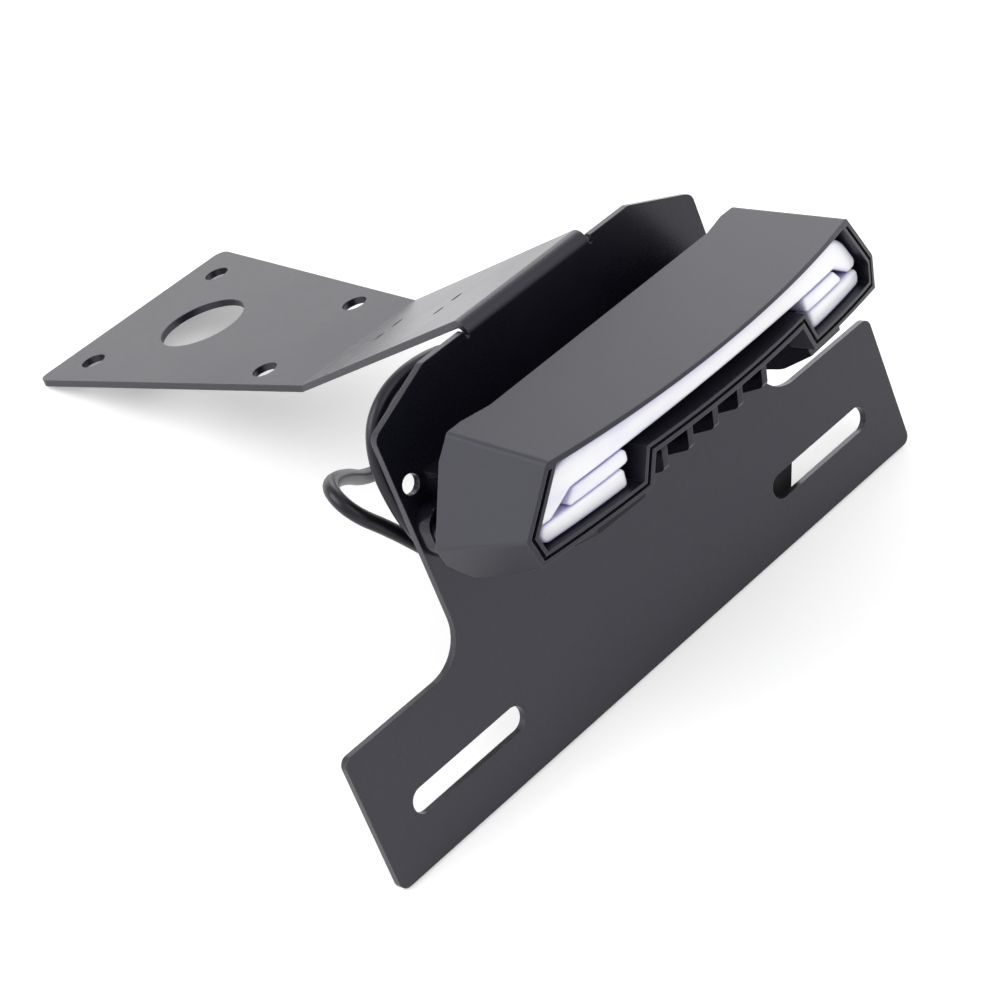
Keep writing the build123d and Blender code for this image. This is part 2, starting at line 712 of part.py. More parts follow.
with BuildPart() as guide_top:
    with BuildSketch(at_depth(0)):
        add(top_plan.sketch)
    extrude(amount=80)
    add(bow_guide.part, mode=Mode.INTERSECT)
    add(bow_guide_back.part, mode=Mode.SUBTRACT)
    fillet(guide_top.faces().sort_by(Axis.Y)[0].edges(), radius=guide_round)
    add(stem_waste.part, mode=Mode.SUBTRACT)
guide_top.part.label = "guide_top"
export_step(guide_top.part, "parts/guide_top.step")

with BuildPart() as guide_mid_left:
    with BuildSketch(at_depth(0)):
        add(mid_plan_left.sketch)
    extrude(amount=80)
    add(bow_guide.part, mode=Mode.INTERSECT)
    add(bow_guide_back.part, mode=Mode.SUBTRACT)
    fillet(guide_mid_left.faces().sort_by(Axis.Y)[0].edges(), radius=guide_round * 0.7)
    add(stem_waste.part, mode=Mode.SUBTRACT)
guide_mid_left.part.label = "guide_mid_left"
export_step(guide_mid_left.part, "parts/guide_mid_left.step")

with BuildPart() as guide_mid_right:
    with BuildSketch(at_depth(0)):
        add(mid_plan_right.sketch)
    extrude(amount=80)
    add(bow_guide.part, mode=Mode.INTERSECT)
    add(bow_guide_back.part, mode=Mode.SUBTRACT)
    fillet(guide_mid_right.faces().sort_by(Axis.Y)[0].edges(), radius=guide_round * 0.7)
    add(stem_waste.part, mode=Mode.SUBTRACT)
guide_mid_right.part.label = "guide_mid_right"
export_step(guide_mid_right.part, "parts/guide_mid_right.step")

with BuildPart() as guide_low_left:
    with BuildSketch(at_depth(0)):
        add(low_plan_left.sketch)
    extrude(amount=80)
    add(bow_guide.part, mode=Mode.INTERSECT)
    add(bow_guide_back.part, mode=Mode.SUBTRACT)
    fillet(guide_low_left.faces().sort_by(Axis.Y)[0].edges(), radius=guide_round)
    add(stem_waste.part, mode=Mode.SUBTRACT)
guide_low_left.part.label = "guide_low_left"
export_step(guide_low_left.part, "parts/guide_low_left.step")

with BuildPart() as guide_low_right:
    with BuildSketch(at_depth(0)):
        add(low_plan_right.sketch)
    extrude(amount=80)
    add(bow_guide.part, mode=Mode.INTERSECT)
    add(bow_guide_back.part, mode=Mode.SUBTRACT)
    fillet(guide_low_right.faces().sort_by(Axis.Y)[0].edges(), radius=guide_round)
    add(stem_waste.part, mode=Mode.SUBTRACT)
guide_low_right.part.label = "guide_low_right"
export_step(guide_low_right.part, "parts/guide_low_right.step")
for guide in (guide_top, guide_mid_left, guide_mid_right, guide_low_left, guide_low_right):
    print(guide.part.label, guide.part.volume, len(guide.part.solids()))

# Circuit board with its diodes and screws
with BuildPart() as led_board:
    with BuildSketch(at_depth(board_back)):
        with BuildLine():
            Polyline(*rim_outline, close=True)
        make_face()
        offset(amount=-board_inset, kind=Kind.INTERSECTION, mode=Mode.REPLACE)
        with Locations((-post_x, board_screw_z), (post_x, board_screw_z)):
            Circle(board_screw_d / 2 + thread_gap, mode=Mode.SUBTRACT)
    extrude(amount=board_t)
led_board.part.label = "led_board"
export_step(led_board.part, "parts/led_board.step")

with BuildPart() as leds:
    with BuildSketch(at_depth(board_back + board_t)):
        with Locations((0, led_top_z)):
            with GridLocations(led_pitch, 1, led_top_count, 1):
                Rectangle(led_w, led_w * 0.9)
        for side in (-1, 1):
            with Locations([(side * x, led_mid_z) for x in led_mid_x]):
                Rectangle(led_w, led_w * 0.9)
            with Locations([(side * x, led_low_z) for x in led_low_x]):
                Rectangle(led_w, led_w * 0.9)
    extrude(amount=led_h)
leds.part.label = "leds"
export_step(leds.part, "parts/leds.step")

with BuildPart() as board_screws:
    with BuildSketch(at_depth(board_back + board_t)):
        with Locations((-post_x, board_screw_z), (post_x, board_screw_z)):
            Circle(board_screw_d * 0.95)
    extrude(amount=board_screw_d * 0.6)
    with BuildSketch(at_depth(board_back + board_t)):
        with Locations((-post_x, board_screw_z), (post_x, board_screw_z)):
            Circle(board_screw_d / 2)
    extrude(amount=-board_t - post_t * 0.8)
board_screws.part.label = "board_screws"
export_step(board_screws.part, "parts/board_screws.step")

# Bolts and washers behind the panel
with BuildPart() as lamp_washers:
    with BuildSketch(Plane.XZ.offset(-panel_back_y)):
        with Locations((-bolt_x, bolt_z), (bolt_x, bolt_z)):
            Circle(washer_d / 2)
            Circle(bolt_d / 2 + 0.2, mode=Mode.SUBTRACT)
    extrude(amount=-washer_t)
lamp_washers.part.label = "lamp_washers"
export_step(lamp_washers.part, "parts/lamp_washers.step")

head_y = panel_back_y + washer_t
with BuildPart() as lamp_bolts:
    with BuildSketch(Plane.XZ.offset(-head_y)):
        with Locations((-bolt_x, bolt_z), (bolt_x, bolt_z)):
            Circle(bolt_head_d / 2)
    extrude(amount=-bolt_head_h)
    fillet(lamp_bolts.faces().filter_by(Plane.XZ).group_by(Axis.Y)[-1].edges(), radius=bolt_head_h * 0.6)
    with BuildSketch(Plane.XZ.offset(-head_y)):
        with Locations((-bolt_x, bolt_z), (bolt_x, bolt_z)):
            Circle(bolt_d / 2)
    extrude(amount=bolt_len)
    with BuildSketch(Plane.XZ.offset(-head_y - bolt_head_h)):
        with Locations((-bolt_x, bolt_z), (bolt_x, bolt_z)):
            RegularPolygon(bolt_socket / 2, 6, major_radius=False)
    extrude(amount=bolt_head_h * 0.6, mode=Mode.SUBTRACT)
lamp_bolts.part.label = "lamp_bolts"
export_step(lamp_bolts.part, "parts/lamp_bolts.step")
print("bolts", lamp_bolts.part.volume, len(lamp_bolts.part.solids()))

# Grommet in the panel's cable hole
with BuildPart() as cable_grommet:
    with BuildSketch(at_depth(grommet_front_t - 0.05)):
        with Locations((0, lead_z)):
            Circle(grommet_d / 2)
    extrude(amount=-grommet_front_t + 0.1)
    with BuildSketch(at_depth(0.2)):
        with Locations((0, lead_z)):
            Circle(grommet_hole_d / 2 - 0.05)
    extrude(amount=-sheet_t - 0.4)
    with BuildSketch(Plane.XZ.offset(-panel_back_y)):
        with Locations((0, lead_z)):
            Circle(grommet_d / 2)
    extrude(amount=-grommet_back_t)
    fillet(cable_grommet.faces().filter_by(Plane.XZ).sort_by(Axis.Y)[-1].edges(), radius=0.9)
    with BuildSketch(at_depth(grommet_front_t)):
        with Locations((0, lead_z)):
            Circle(lead_d / 2 + lead_gap)
    extrude(amount=-20, mode=Mode.SUBTRACT)
cable_grommet.part.label = "cable_grommet"
export_step(cable_grommet.part, "parts/cable_grommet.step")
print("grommet", cable_grommet.part.volume, len(cable_grommet.part.solids()))

# Lead: out through the grommet, one loop back to the left, one turn behind the panel, then to the plug
lead_plan = [
    (0, -sheet_t - 6, lead_z), (0, 11, lead_z), (-2, 31, -14), (-10, 50, -22), (-31, 49.5, -19),
    (-48, 32, -4.5), (-60.5, 20.5, 2), (-62, 12.5, -3.5), (-54.5, 10.4, -13), (-43, 10.3, -30),
    (-21, 10.2, -32.5), (-7, 9.5, -18), (-6, 8.2, 3), (-20, 6.8, 18.5), (-42.5, 5.8, 21.5),
    (-54.8, 5.8, 11.5), (-53.5, 5.8, -13), (-44, 5.8, -31), (-20, 5.9, -33), (0, 6.6, -38),
    (14, 7.2, -44.5), (28, 7.8, -53.6), (40.4, 8, -60.2)]
lead_points = [(x, panel_back_y + behind, z) for x, behind, z in lead_plan]
lead_radii = []
for a, b, c in zip(lead_points, lead_points[1:], lead_points[2:]):
    run_in = Vector(*b) - Vector(*a)
    run_out = Vector(*c) - Vector(*b)
    half_turn = math.radians(run_in.get_angle(run_out)) / 2
    lead_radii.append(0.45 * min(run_in.length, run_out.length) / math.tan(half_turn))
print("lead radii", [round(r, 1) for r in lead_radii])
with BuildPart() as cable:
    with BuildLine() as lead_route:
        FilletPolyline(*lead_points, radius=lead_radii)
    with BuildSketch(Plane(lead_route.line @ 0, z_dir=lead_route.line % 0)):
        Circle(lead_d / 2)
    sweep(path=lead_route.line)
cable.part.label = "cable"
export_step(cable.part, "parts/cable.step")
print("cable length", sum(e.length for e in lead_route.edges()), len(cable.part.solids()))

# Plug at the lead's end
plug_along = lead_route.line % 1
plug_plane = Plane(lead_route.line @ 1, x_dir=Vector(0, 1, 0).cross(plug_along), z_dir=plug_along)
with BuildPart() as connector:
    with BuildSketch(plug_plane):
        Circle(lead_d / 2 + 1.4)
    extrude(amount=plug_gland_l)
    with BuildSketch(plug_plane.offset(plug_gland_l)):
        RectangleRounded(plug_w, plug_t, 1.5)
    extrude(amount=plug_l)
    with BuildSketch(plug_plane.offset(plug_gland_l + plug_l)):
        RectangleRounded(plug_w - 3, plug_t - 3, 0.8)
    extrude(amount=-plug_mouth, mode=Mode.SUBTRACT)
    with BuildSketch(plug_plane.offset(plug_gland_l + plug_l * 0.35)):
        with Locations((0, plug_t / 2 + 0.5)):
            Rectangle(5, 1.6)
    extrude(amount=plug_l * 0.4)
connector.part.label = "connector"
export_step(connector.part, "parts/connector.step")

with BuildPart() as connector_pins:
    with BuildSketch(plug_plane.offset(plug_gland_l + plug_l - plug_mouth)):
        with GridLocations(plug_pin_pitch, 1, 3, 1):
            Circle(plug_pin_d / 2)
    extrude(amount=plug_mouth - 1)
connector_pins.part.label = "connector_pins"
export_step(connector_pins.part, "parts/connector_pins.step")
print("plug", connector.part.volume, len(connector.part.solids()), len(connector_pins.part.solids()))

# Tie round the two passes of the lead below its turn
pass_a = (Vector(*lead_points[9]) + Vector(*lead_points[10])) * 0.5
pass_b = (Vector(*lead_points[17]) + Vector(*lead_points[18])) * 0.5
upper_run = Vector(*lead_points[10]) - Vector(*lead_points[9])
lower_run = Vector(*lead_points[18]) - Vector(*lead_points[17])
tie_along = upper_run + lower_run
tie_across = pass_b - pass_a
tie_plane = Plane((pass_a + pass_b) * 0.5, x_dir=tie_across, z_dir=tie_along)
with BuildPart() as cable_tie:
    with BuildSketch(tie_plane):
        SlotCenterToCenter(tie_across.length, lead_d + 2 * tie_gap + 2 * tie_t)
        SlotCenterToCenter(tie_across.length, lead_d + 2 * tie_gap, mode=Mode.SUBTRACT)
    extrude(amount=tie_w / 2, both=True)
    with BuildSketch(tie_plane):
        with Locations((0, -lead_d / 2 - tie_gap - tie_t / 2 - tie_head / 2)):
            Rectangle(tie_head + 1, tie_head)
    extrude(amount=tie_head / 2, both=True)
cable_tie.part.label = "cable_tie"
export_step(cable_tie.part, "parts/cable_tie.step")
print("tie", cable_tie.part.volume, len(cable_tie.part.solids()), "gap", tie_across.length - lead_d)
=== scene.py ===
"""Looks of a motorbike tail tidy: bracket, lamp unit, light guides, free lead and studio stage."""

import math

import bpy
import numpy as np
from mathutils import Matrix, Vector


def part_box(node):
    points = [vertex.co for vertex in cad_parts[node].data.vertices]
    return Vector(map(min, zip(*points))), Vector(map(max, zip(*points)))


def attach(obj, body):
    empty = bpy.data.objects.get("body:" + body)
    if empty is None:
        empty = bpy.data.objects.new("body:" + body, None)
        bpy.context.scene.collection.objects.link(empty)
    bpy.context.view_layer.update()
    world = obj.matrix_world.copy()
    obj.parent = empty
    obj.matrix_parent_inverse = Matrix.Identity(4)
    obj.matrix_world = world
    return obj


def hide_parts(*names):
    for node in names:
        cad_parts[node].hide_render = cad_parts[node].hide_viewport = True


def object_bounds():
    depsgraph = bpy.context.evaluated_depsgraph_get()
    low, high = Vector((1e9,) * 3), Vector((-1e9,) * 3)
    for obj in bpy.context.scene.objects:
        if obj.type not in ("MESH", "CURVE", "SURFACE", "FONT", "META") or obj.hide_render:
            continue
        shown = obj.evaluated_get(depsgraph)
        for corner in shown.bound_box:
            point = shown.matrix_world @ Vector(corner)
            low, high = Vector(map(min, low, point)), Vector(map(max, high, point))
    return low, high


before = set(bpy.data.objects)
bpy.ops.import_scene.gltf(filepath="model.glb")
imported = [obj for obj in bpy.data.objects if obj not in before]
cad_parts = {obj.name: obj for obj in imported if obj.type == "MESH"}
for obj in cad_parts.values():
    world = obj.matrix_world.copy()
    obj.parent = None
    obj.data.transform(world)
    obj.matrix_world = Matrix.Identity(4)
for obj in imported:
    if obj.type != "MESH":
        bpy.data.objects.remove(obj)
cad_low, cad_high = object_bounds()

bl_info = {
    "name": "Tail tidy looks",
    "version": (1, 0, 0),
    "blender": (4, 5, 0),
    "location": "View3D > Sidebar > Tail tidy",
    "description": "Finishes the folded bracket, the lamp unit and its lead, and sets the stage",
    "category": "Object",
}

MM = 0.001
SHEET = 2 * MM
PANEL_BACK = -96.971 * MM
PANEL_FACE = PANEL_BACK - SHEET

# Where the lead runs: across, behind the panel's back face, and up, in mm
LEAD_ROUTE = (
    (0, -8, -10), (0, 11, -10), (-2, 31, -14), (-10, 50, -22), (-31, 49.5, -19), (-48, 32, -4.5),
    (-60.5, 20.5, 2), (-62, 12.5, -3.5), (-54.5, 10.4, -13), (-43, 10.3, -30), (-21, 10.2, -32.5),
    (-7, 9.5, -18), (-6, 8.2, 3), (-20, 6.8, 18.5), (-42.5, 5.8, 21.5), (-54.8, 5.8, 11.5),
    (-53.5, 5.8, -13), (-44, 5.8, -31), (-20, 5.9, -33), (0, 6.6, -38), (14, 7.2, -44.5),
    (28, 7.8, -53.6), (40.4, 8, -60.2))

# What black plastic and rubber mirror head on
COOL_SHEEN = (0.89, 0.88, 1.0)
BASE_BLACK = (0.004, 0.004, 0.007)
MASK_BLACK = (0.005, 0.005, 0.008)
MASK_ROUGHNESS = 0.36
SHEATH_BLACK = (0.005, 0.005, 0.007)
RUBBER_BLACK = (0.012, 0.012, 0.012)
NYLON_BLACK = (0.012, 0.012, 0.013)
BOLT_BLACK = (0.055, 0.055, 0.06)
SCREW_ZINC = (0.60, 0.60, 0.61)
WASHER_ZINC = (0.62, 0.62, 0.63)
PIN_TIN = (0.72, 0.66, 0.50)
BOARD_GREEN = (0.018, 0.085, 0.035)
TRACK_GREEN = (0.05, 0.17, 0.07)
DIODE_CASE = (0.82, 0.82, 0.80)
DIODE_PHOSPHOR = (0.86, 0.66, 0.16)
PAPER = (0.86, 0.86, 0.865)

# How far the floor lies under the edges that rest on it
FLOOR_GAP = 0.2 * MM
# Rays that show the white floor and room, as outputs of Light Path
SHOWN_RAYS = ("Is Camera Ray", "Is Glossy Ray", "Is Transmission Ray")
# Side of each square light, and where the lights stand from the middle of the part, in metres
LIGHT_SIDE = 0.9
LIGHT_PLACES = {
    "key": (-0.80, 0.30, 0.90), "fill": (0.1, -1.0, 0.65), "rim": (1.05, 0.45, 0.72),
    "back": (0.60, 1.12, 0.51)}

# Sockets of a Mix node for colours, by number, because their names find those for numbers
MIX_FACTOR, MIX_OFF, MIX_ON, MIX_RESULT = 0, 6, 7, 2


class Wire:
    """One socket of a node tree. Arithmetic on it adds Math nodes and gives the result's wire."""

    def __init__(self, tree, socket=None):
        self.tree = tree
        self.socket = socket

    def feed(self, socket, value):
        """Links a wire to an input, or sets the input's own value. A plain colour is opaque."""
        if isinstance(value, Wire):
            self.tree.links.new(value.socket, socket)
        elif socket.type == "RGBA":
            socket.default_value = (*value, 1.0)
        else:
            socket.default_value = value

    def node(self, kind, settings=None, sockets=None, out=0):
        """Adds a node: its settings, then the values or wires of its sockets. Gives one output."""
        made = self.tree.nodes.new(kind)
        for name, value in (settings or {}).items():
            setattr(made, name, value)
        for name, value in (sockets or {}).items():
            self.feed(made.inputs[name], value)
        return Wire(self.tree, made.outputs[out] if made.outputs else None)

    def math(self, operation, *values):
        """A Math node on numbers or wires."""
        return self.node("ShaderNodeMath", {"operation": operation}, dict(enumerate(values)))

    def __add__(self, other):
        return self.math("ADD", self, other)

    def __radd__(self, other):
        return self.math("ADD", other, self)

    def __sub__(self, other):
        return self.math("SUBTRACT", self, other)

    def __rsub__(self, other):
        return self.math("SUBTRACT", other, self)

    def __mul__(self, other):
        return self.math("MULTIPLY", self, other)

    def __rmul__(self, other):
        return self.math("MULTIPLY", other, self)

    def sway(self, amount):
        """A value from 0 to 1, moved and scaled to lie half the amount to each side of 0."""
        return amount * (self - 0.5)

    def ramp(self, low, high):
        """0 below low, 1 above high, smooth between."""
        return self.node(
            "ShaderNodeMapRange", {"interpolation_type": "SMOOTHSTEP"},
            {"Value": self, "From Min": low, "From Max": high})

    def tint(self, off, on):
        """A colour that goes from off to on as this value goes from 0 to 1."""
        return self.node(
            "ShaderNodeMix", {"data_type": "RGBA"}, {MIX_FACTOR: self, MIX_OFF: off, MIX_ON: on},
            out=MIX_RESULT)


class Finish:
    """A material in the making: its tree, the surface point in mm, soft edges and the shader."""

    def __init__(self, name, edge_round):
        self.material = bpy.data.materials.new(name)
        self.material.use_nodes = True
        tree = self.material.node_tree
        self.shader = tree.nodes["Principled BSDF"]
        self.start = Wire(tree)
        place = self.start.node("ShaderNodeTexCoord", out="Object")
        self.point = self.start.node(
            "ShaderNodeMapping", None, {"Vector": place, "Scale": (1 / MM, 1 / MM, 1 / MM)})
        self.rounded = self.start.node(
            "ShaderNodeBevel", {"samples": 6}, {"Radius": edge_round})

    def noise(self, per_mm, detail=2.0, rough=0.5, stretch=None):
        """Cloud noise from 0 to 1, with a number of cells per mm and a gain on each axis."""
        point = self.point
        if stretch:
            point = self.start.node(
                "ShaderNodeMapping", None, {"Vector": point, "Scale": stretch})
        return self.start.node("ShaderNodeTexNoise", None, {
            "Vector": point, "Scale": per_mm, "Detail": detail, "Roughness": rough})

    def cells(self, per_mm):
        """Distance from the nearest cell middle, from 0 to about 1."""
        return self.start.node(
            "ShaderNodeTexVoronoi", None, {"Vector": self.point, "Scale": per_mm})

    def edge(self, low=0.004, high=0.09):
        """1 along the outside and inside edges of the shape, 0 on its open faces."""
        plain = self.start.node("ShaderNodeNewGeometry", out="Normal")
        along = self.start.node(
            "ShaderNodeVectorMath", {"operation": "DOT_PRODUCT"}, {0: self.rounded, 1: plain},
            out="Value")
        return (1 - along).ramp(low, high)

    def set(self, **values):
        """Values of the shader's own sockets, or wires into them."""
        for name, value in values.items():
            self.start.feed(self.shader.inputs[name.replace("_", " ")], value)

    def relief(self, height, depth):
        """A bump of that depth, on top of the rounded edges."""
        self.set(Normal=self.start.node("ShaderNodeBump", None, {
            "Height": height, "Distance": depth, "Normal": self.rounded}))


def shade(colour, gain, lift=0.0):
    """Each channel times the gain, plus the lift, and at most 1."""
    return tuple(min(1, channel * gain + lift) for channel in colour)


def dress(material, *names):
    """Gives the named pieces of the frame a material in place of their plain one."""
    for name in names:
        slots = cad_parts[name].data.materials
        slots.clear()
        slots.append(material)


def powder_coat(look):
    """Satin powder coat: orange-peel ripple, fine pits, cloudy tone and paler, worn cut edges."""
    coat = Finish("powder_coat", edge_round=look.edge_round)
    cloud = coat.noise(0.035, detail=3)
    pit = coat.noise(5.0, detail=1)
    peel = coat.noise(0.8)
    patchy = coat.noise(1.4, detail=3, rough=0.7).ramp(0.38, 0.62)
    worn = coat.edge() * (0.35 + 0.65 * patchy)
    tone = cloud.ramp(0.3, 0.7).tint(shade(look.colour, 0.86), look.colour)
    coat.set(
        Base_Color=(worn * look.edge_wear).tint(tone, look.edge_colour),
        Roughness=look.roughness + pit.sway(0.10) + cloud.sway(0.12),
        Specular_IOR_Level=0.56, Specular_Tint=look.sheen)
    coat.relief(0.7 * peel + 0.3 * pit, depth=look.ripple)
    return coat.material


def grained_mould(look):
    """Spark-textured moulding: packed pits under half a mm across, smoother edges and a painted
    highlight along them.
    """
    mould = Finish("grained_mould", edge_round=look.edge_round)
    grain = mould.noise(3.2, detail=3, rough=0.6)
    pits = mould.cells(2.4)
    cloud = mould.noise(0.03)
    edge = mould.edge()
    tone = cloud.ramp(0.3, 0.7).tint(shade(look.colour, 0.88), look.colour)
    # Paler edges: a painted highlight along them
    mould.set(
        Base_Color=(edge * 0.5).tint(tone, look.edge_colour),
        Roughness=look.roughness + grain.sway(0.16) - 0.14 * edge,
        Specular_IOR_Level=0.53, Specular_Tint=look.sheen)
    mould.relief(0.6 * grain + 0.4 * pits, depth=look.ripple)
    return mould.material


def gloss_mould(name, colour, roughness):
    """Glossy moulding: faint flow waves, cloudy gloss, a little dust and softened edges."""
    mould = Finish(name, edge_round=0.25 * MM)
    flow = mould.noise(0.12, stretch=(1, 1, 2.5))
    dust = mould.noise(1.6, detail=3, rough=0.6)
    mould.set(
        Base_Color=(0.5 * mould.edge() * flow + 0.12 * dust).tint(colour, shade(colour, 2.6)),
        Roughness=roughness + dust.sway(0.14) + flow.sway(0.10),
        Coat_Weight=0.05 + flow.sway(0.06), Coat_Roughness=0.10,
        Specular_IOR_Level=0.20, Specular_Tint=COOL_SHEEN)
    mould.relief(0.85 * flow + 0.15 * dust, depth=0.05 * MM)
    return mould.material


def milky_guide(look):
    """Milky plastic scattering light, with painted shade in gaps, on edges and under the lip."""
    guide = Finish("milky_guide", edge_round=1.2 * MM)
    flow = guide.noise(0.10, stretch=(0.4, 1, 1))
    speck = guide.noise(4.0, detail=1)
    # Painted shade in a cooler tone: near neighbouring parts, under the rim's upper lip and along
    # the edges
    free = guide.start.node(
        "ShaderNodeAmbientOcclusion", {"samples": 8}, {"Distance": look.depth}, out="AO")
    gap_shade = (1 - free).ramp(0.22, 0.72)
    height = guide.start.node("ShaderNodeSeparateXYZ", None, {"Vector": guide.point}, out="Z")
    lip_shadow = height.ramp(look.lip_shade_z / MM, look.lip_z / MM)
    painted_shade = guide.start.math("MAXIMUM", guide.edge(0.01, 0.16) * 0.6, lip_shadow * 0.9)
    half_cool = tuple((a + b) / 2 for a, b in zip(look.painted_shade_colour, look.colour))
    tone = flow.ramp(0.2, 0.6).tint(half_cool, look.colour)
    guide.set(
        Base_Color=guide.start.math("MAXIMUM", painted_shade, gap_shade).tint(tone, look.painted_shade_colour),
        Roughness=look.roughness + speck.sway(0.08),
        Subsurface_Weight=look.milkiness, Subsurface_Radius=(1.0, 0.95, 1.15),
        Subsurface_Scale=1.6 * MM, Coat_Weight=0.3, Coat_Roughness=0.08)
    guide.relief(0.8 * flow + 0.2 * speck, depth=0.03 * MM)
    return guide.material


def bare_metal(name, colour, roughness, metal=1.0):
    """Plated or blackened metal: turned lines, cloudy plating and brighter edges."""
    plate = Finish(name, edge_round=0.12 * MM)
    cloud = plate.noise(0.5, detail=3, rough=0.6)
    lines = plate.noise(2.0, stretch=(1, 6, 6))
    tone = cloud.ramp(0.3, 0.75).tint(shade(colour, 0.78), colour)
    plate.set(
        Base_Color=(plate.edge() * 0.6).tint(tone, shade(colour, 1.6, lift=0.04)),
        Metallic=metal, Roughness=roughness + lines.sway(0.2) + cloud.sway(0.1))
    plate.relief(lines, depth=0.012 * MM)
    return plate.material


def soft_black(name, colour, roughness, grain_mm, depth_mm):
    """Rubber, sheath or nylon: fine skin grain, a bloom of paler dust and softened edges."""
    skin = Finish(name, edge_round=0.15 * MM)
    grain = skin.noise(1 / grain_mm, detail=3, rough=0.55)
    bloom = skin.noise(0.12, detail=4, rough=0.6)
    tone = bloom.ramp(0.35, 0.75).tint(colour, shade(colour, 1.55, lift=0.004))
    skin.set(
        Base_Color=(grain * 0.25).tint(tone, shade(colour, 0.7)),
        Roughness=roughness + grain.sway(0.14) + bloom.sway(0.12),
        Specular_IOR_Level=0.34, Specular_Tint=COOL_SHEEN)
    skin.relief(grain, depth=depth_mm * MM)
    return skin.material


def board_mask():
    """Green solder mask: the copper tracks below show as paler, raised lines in offset rows."""
    board = Finish("board_mask", edge_round=0.1 * MM)
    upright = board.start.node("ShaderNodeMapping", None, {
        "Vector": board.point, "Rotation": (math.pi / 2, 0, 0)})
    tracks = board.start.node(
        "ShaderNodeTexBrick", None, {"Vector": upright, "Scale": 0.35, "Mortar Size": 0.12},
        out="Fac")
    board.set(
        Base_Color=(tracks * 0.6).tint(BOARD_GREEN, TRACK_GREEN),
        Roughness=0.28 + 0.1 * board.noise(0.3))
    board.relief(tracks, depth=0.03 * MM)
    return board.material


def diode_face():
    """Diode: white case with a yellow phosphor window on the side that faces the guides."""
    diode = Finish("diode_face", edge_round=0.1 * MM)
    facing = diode.start.node("ShaderNodeSeparateXYZ", None, {
        "Vector": diode.start.node("ShaderNodeNewGeometry", out="Normal")}, out="Y")
    window = (0 - facing).ramp(0.7, 0.9)
    grain = diode.noise(3.0)
    diode.set(
        Base_Color=window.tint(DIODE_CASE, DIODE_PHOSPHOR), Roughness=0.35 + grain.sway(0.2))
    diode.relief(grain, depth=0.02 * MM)
    return diode.material


class CoatLook(bpy.types.PropertyGroup):
    """Powder coat of the folded bracket."""

    colour: bpy.props.FloatVectorProperty(
        name="Coat colour", description="Tone of the satin coat", subtype="COLOR", size=3,
        min=0, max=1, default=(0.0050, 0.0053, 0.0092))
    edge_colour: bpy.props.FloatVectorProperty(
        name="Edge colour", description="Tone where the coat thins over a cut edge",
        subtype="COLOR", size=3, min=0, max=1, default=(0.16, 0.16, 0.17))
    edge_wear: bpy.props.FloatProperty(
        name="Edge wear", description="How much of the edge tone shows", subtype="FACTOR",
        min=0, max=1, default=0.30)
    edge_round: bpy.props.FloatProperty(
        name="Edge round", description="Radius of the coated edge", subtype="DISTANCE",
        unit="LENGTH", default=0.35 * MM)
    sheen: bpy.props.FloatVectorProperty(
        name="Sheen colour", description="Tone of what the coat mirrors head on",
        subtype="COLOR", size=3, min=0, max=1, default=COOL_SHEEN)
    roughness: bpy.props.FloatProperty(
        name="Roughness", description="Satin level of the coat", subtype="FACTOR", min=0, max=1,
        default=0.28)
    ripple: bpy.props.FloatProperty(
        name="Ripple", description="Depth of the orange peel", subtype="DISTANCE", unit="LENGTH",
        default=0.02 * MM)


class MouldLook(bpy.types.PropertyGroup):
    """Grained moulding of the lamp cover."""

    colour: bpy.props.FloatVectorProperty(
        name="Mould colour", description="Tone of the moulding", subtype="COLOR", size=3,
        min=0, max=1, default=(0.0060, 0.0062, 0.0105))
    # Colour of the painted highlight along the cover's edges
    edge_colour: bpy.props.FloatVectorProperty(
        name="Edge colour", description="Tone of the smoother edges", subtype="COLOR", size=3,
        min=0, max=1, default=(0.10, 0.10, 0.105))
    edge_round: bpy.props.FloatProperty(
        name="Edge round", description="Radius of the moulded edges", subtype="DISTANCE",
        unit="LENGTH", default=0.30 * MM)
    sheen: bpy.props.FloatVectorProperty(
        name="Sheen colour", description="Tone of what the moulding mirrors head on",
        subtype="COLOR", size=3, min=0, max=1, default=(0.88, 0.88, 1.0))
    roughness: bpy.props.FloatProperty(
        name="Roughness", description="Satin level of the grain", subtype="FACTOR", min=0, max=1,
        default=0.46)
    ripple: bpy.props.FloatProperty(
        name="Grain depth", description="Depth of the texture", subtype="DISTANCE", unit="LENGTH",
        default=0.02 * MM)


class GuideLook(bpy.types.PropertyGroup):
    """Milky plastic of the light guides."""

    colour: bpy.props.FloatVectorProperty(
        name="Guide colour", description="Tone of the front faces", subtype="COLOR", size=3,
        min=0, max=1, default=(0.93, 0.93, 0.96))
    # Colour of the painted shade in the gaps, along the edges and under the lip
    painted_shade_colour: bpy.props.FloatVectorProperty(
        name="Depth colour", description="Cooler tone in the gaps and edges", subtype="COLOR",
        size=3, min=0, max=1, default=(0.64, 0.63, 0.87))
    roughness: bpy.props.FloatProperty(
        name="Roughness", description="Polish of the front", subtype="FACTOR", min=0, max=1,
        default=0.25)
    # The painted shade under the lip is strongest at this height and fades out down to the lip
    # shade height
    lip_z: bpy.props.FloatProperty(
        name="Lip height", description="Height of the rim's upper lip, where the tone is coolest",
        subtype="DISTANCE", unit="LENGTH", default=12.4 * MM)
    lip_shade_z: bpy.props.FloatProperty(
        name="Lip shade height", description="Height where the cool tone under the lip ends",
        subtype="DISTANCE", unit="LENGTH", default=8.4 * MM)
    # How far the painted shade reaches from neighbouring parts
    depth: bpy.props.FloatProperty(
        name="Depth", description="How far from its neighbours the plastic keeps the cooler tone",
        subtype="DISTANCE", unit="LENGTH", default=4 * MM)
    milkiness: bpy.props.FloatProperty(
        name="Milkiness", description="Share of light that scatters inside", subtype="FACTOR",
        min=0, max=1, default=0.2)


